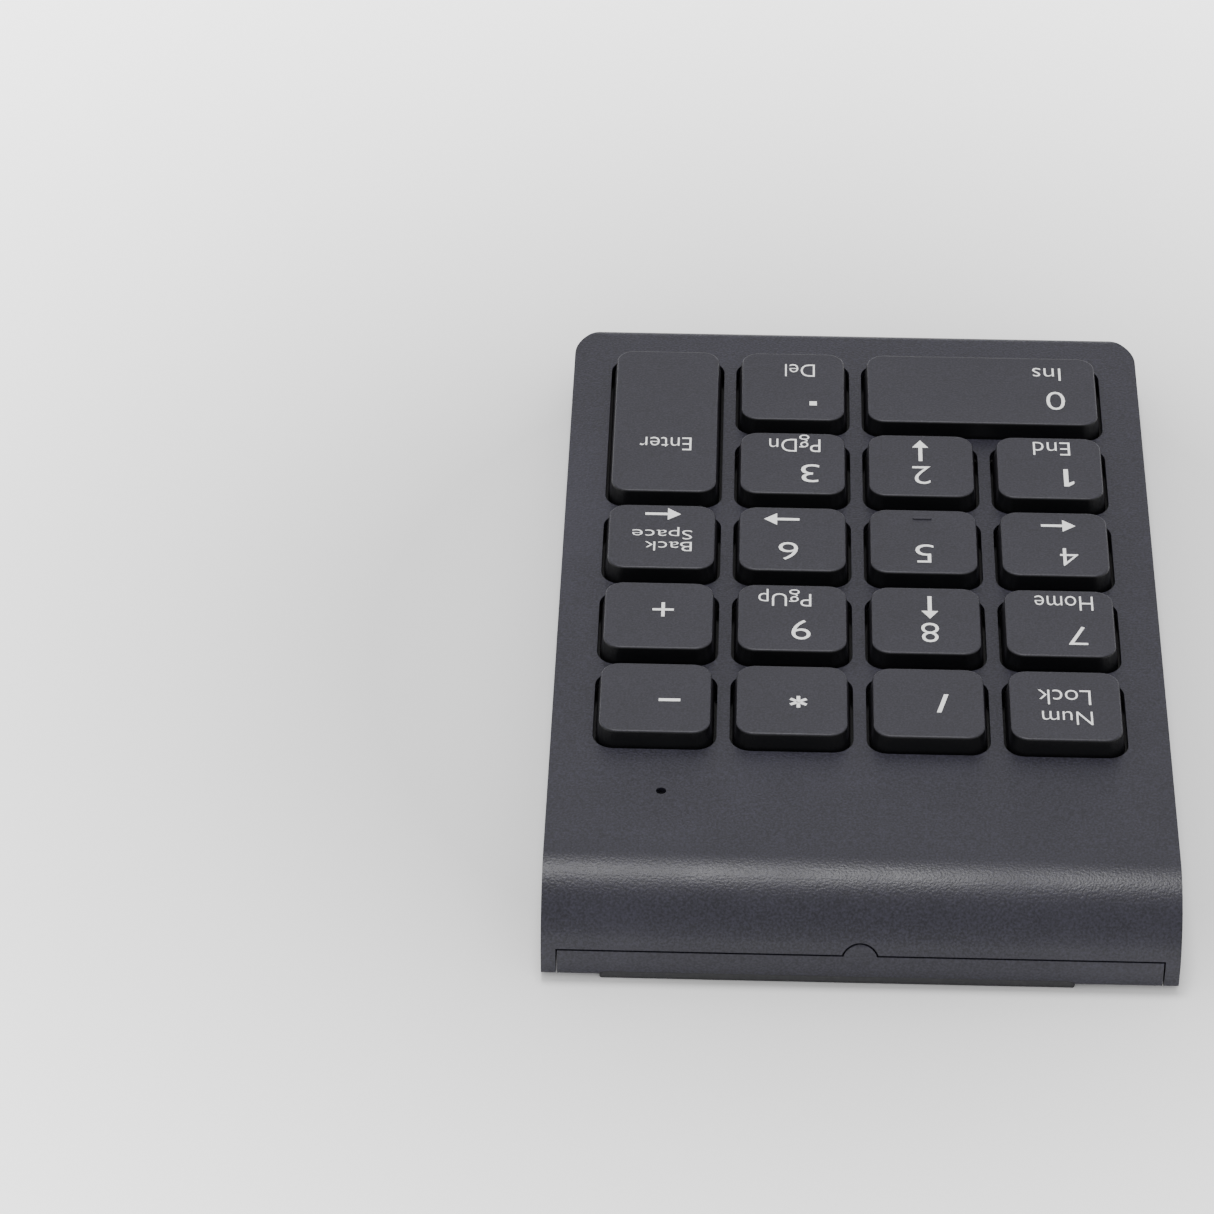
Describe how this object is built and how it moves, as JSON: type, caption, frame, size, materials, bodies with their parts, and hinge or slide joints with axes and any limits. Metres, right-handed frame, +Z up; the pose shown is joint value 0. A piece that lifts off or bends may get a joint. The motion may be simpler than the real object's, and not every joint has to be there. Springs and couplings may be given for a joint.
{
  "type": "numeric keypad",
  "caption": "low wedge-shaped wireless numeric keypad with square and double-length keys, rolled-over back and a battery door along its lower back edge",
  "frame": {"origin": "on the table, under the centre of the case's bounding box", "axes": "+X to the user's right, +Y away from the user towards the battery end, +Z up"},
  "size_m": [0.0858, 0.1372, 0.0149],
  "materials": {
    "case_plastic": "fine matte texture",
    "foot_rubber": "matte",
    "screw_steel": "bright zinc",
    "key_plastic": "fine matte texture",
    "inner_plastic": "moulded",
    "dome_rubber": "matte silicone",
    "film": "clear polyester",
    "plate_steel": "rolled",
    "board": "solder mask",
    "chip": "moulded epoxy",
    "can_metal": "drawn can",
    "ceramic": "fired",
    "led_lens": "clear epoxy",
    "pipe_tint": "smoked",
    "cell_jacket": "printed sleeve, unlettered",
    "contact_metal": "nickel plated"
  },
  "bodies": {
    "case": {"top_shell": "case_plastic", "bottom_shell": "case_plastic", "case_screws": "screw_steel", "front_feet": "foot_rubber", "key_guide_plate": "inner_plastic", "dome_sheet": "dome_rubber", "upper_film": "film", "spacer_film": "film", "lower_film": "film", "backing_plate": "plate_steel", "circuit_board": "board", "controller_chip": "chip", "crystal": "can_metal", "capacitors": "ceramic", "led": "led_lens", "light_pipe": "pipe_tint", "membrane_clamp": "inner_plastic", "board_screws": "screw_steel", "battery_front": "cell_jacket", "battery_rear": "cell_jacket", "battery_springs": "contact_metal", "contact_bridge": "contact_metal", "contact_positive": "contact_metal", "contact_negative": "contact_metal"},
    "key_num_lock": {"keycap_num_lock": "key_plastic"},
    "key_divide": {"keycap_divide": "key_plastic"},
    "key_multiply": {"keycap_multiply": "key_plastic"},
    "key_minus": {"keycap_minus": "key_plastic"},
    "key_7": {"keycap_7": "key_plastic"},
    "key_8": {"keycap_8": "key_plastic"},
    "key_9": {"keycap_9": "key_plastic"},
    "key_plus": {"keycap_plus": "key_plastic"},
    "key_4": {"keycap_4": "key_plastic"},
    "key_5": {"keycap_5": "key_plastic"},
    "key_6": {"keycap_6": "key_plastic"},
    "key_backspace": {"keycap_backspace": "key_plastic"},
    "key_1": {"keycap_1": "key_plastic"},
    "key_2": {"keycap_2": "key_plastic"},
    "key_3": {"keycap_3": "key_plastic"},
    "key_enter": {"keycap_enter": "key_plastic"},
    "key_0": {"keycap_0": "key_plastic"},
    "key_decimal": {"keycap_decimal": "key_plastic"},
    "door": {"battery_door": "case_plastic", "rear_foot": "foot_rubber"}
  },
  "joints": [
    {"name": "press_num_lock", "type": "slide", "parent": "case", "child": "key_num_lock", "axis": [0, 0.0523, -0.9986], "range_m": [0, 0.002], "stiffness_N_per_m": 270, "springref_m": -0.0005, "deforming": ["dome_sheet"]},
    {"name": "press_divide", "type": "slide", "parent": "case", "child": "key_divide", "axis": [0, 0.0523, -0.9986], "range_m": [0, 0.002], "stiffness_N_per_m": 270, "springref_m": -0.0005, "deforming": ["dome_sheet"]},
    {"name": "press_multiply", "type": "slide", "parent": "case", "child": "key_multiply", "axis": [0, 0.0523, -0.9986], "range_m": [0, 0.002], "stiffness_N_per_m": 270, "springref_m": -0.0005, "deforming": ["dome_sheet"]},
    {"name": "press_minus", "type": "slide", "parent": "case", "child": "key_minus", "axis": [0, 0.0523, -0.9986], "range_m": [0, 0.002], "stiffness_N_per_m": 270, "springref_m": -0.0005, "deforming": ["dome_sheet"]},
    {"name": "press_7", "type": "slide", "parent": "case", "child": "key_7", "axis": [0, 0.0523, -0.9986], "range_m": [0, 0.002], "stiffness_N_per_m": 270, "springref_m": -0.0005, "deforming": ["dome_sheet"]},
    {"name": "press_8", "type": "slide", "parent": "case", "child": "key_8", "axis": [0, 0.0523, -0.9986], "range_m": [0, 0.002], "stiffness_N_per_m": 270, "springref_m": -0.0005, "deforming": ["dome_sheet"]},
    {"name": "press_9", "type": "slide", "parent": "case", "child": "key_9", "axis": [0, 0.0523, -0.9986], "range_m": [0, 0.002], "stiffness_N_per_m": 270, "springref_m": -0.0005, "deforming": ["dome_sheet"]},
    {"name": "press_plus", "type": "slide", "parent": "case", "child": "key_plus", "axis": [0, 0.0523, -0.9986], "range_m": [0, 0.002], "stiffness_N_per_m": 270, "springref_m": -0.0005, "deforming": ["dome_sheet"]},
    {"name": "press_4", "type": "slide", "parent": "case", "child": "key_4", "axis": [0, 0.0523, -0.9986], "range_m": [0, 0.002], "stiffness_N_per_m": 270, "springref_m": -0.0005, "deforming": ["dome_sheet"]},
    {"name": "press_5", "type": "slide", "parent": "case", "child": "key_5", "axis": [0, 0.0523, -0.9986], "range_m": [0, 0.002], "stiffness_N_per_m": 270, "springref_m": -0.0005, "deforming": ["dome_sheet"]},
    {"name": "press_6", "type": "slide", "parent": "case", "child": "key_6", "axis": [0, 0.0523, -0.9986], "range_m": [0, 0.002], "stiffness_N_per_m": 270, "springref_m": -0.0005, "deforming": ["dome_sheet"]},
    {"name": "press_backspace", "type": "slide", "parent": "case", "child": "key_backspace", "axis": [0, 0.0523, -0.9986], "range_m": [0, 0.002], "stiffness_N_per_m": 270, "springref_m": -0.0005, "deforming": ["dome_sheet"]},
    {"name": "press_1", "type": "slide", "parent": "case", "child": "key_1", "axis": [0, 0.0523, -0.9986], "range_m": [0, 0.002], "stiffness_N_per_m": 270, "springref_m": -0.0005, "deforming": ["dome_sheet"]},
    {"name": "press_2", "type": "slide", "parent": "case", "child": "key_2", "axis": [0, 0.0523, -0.9986], "range_m": [0, 0.002], "stiffness_N_per_m": 270, "springref_m": -0.0005, "deforming": ["dome_sheet"]},
    {"name": "press_3", "type": "slide", "parent": "case", "child": "key_3", "axis": [0, 0.0523, -0.9986], "range_m": [0, 0.002], "stiffness_N_per_m": 270, "springref_m": -0.0005, "deforming": ["dome_sheet"]},
    {"name": "press_enter", "type": "slide", "parent": "case", "child": "key_enter", "axis": [0, 0.0523, -0.9986], "range_m": [0, 0.002], "stiffness_N_per_m": 270, "springref_m": -0.0005, "deforming": ["dome_sheet"]},
    {"name": "press_0", "type": "slide", "parent": "case", "child": "key_0", "axis": [0, 0.0523, -0.9986], "range_m": [0, 0.002], "stiffness_N_per_m": 270, "springref_m": -0.0005, "deforming": ["dome_sheet"]},
    {"name": "press_decimal", "type": "slide", "parent": "case", "child": "key_decimal", "axis": [0, 0.0523, -0.9986], "range_m": [0, 0.002], "stiffness_N_per_m": 270, "springref_m": -0.0005, "deforming": ["dome_sheet"]},
    {"name": "door_hinge", "type": "hinge", "parent": "case", "child": "door", "pos_m": [0, 0.0439, 0.0011], "axis": [-1, 0, 0], "range_deg": [0, 70]}
  ]
}
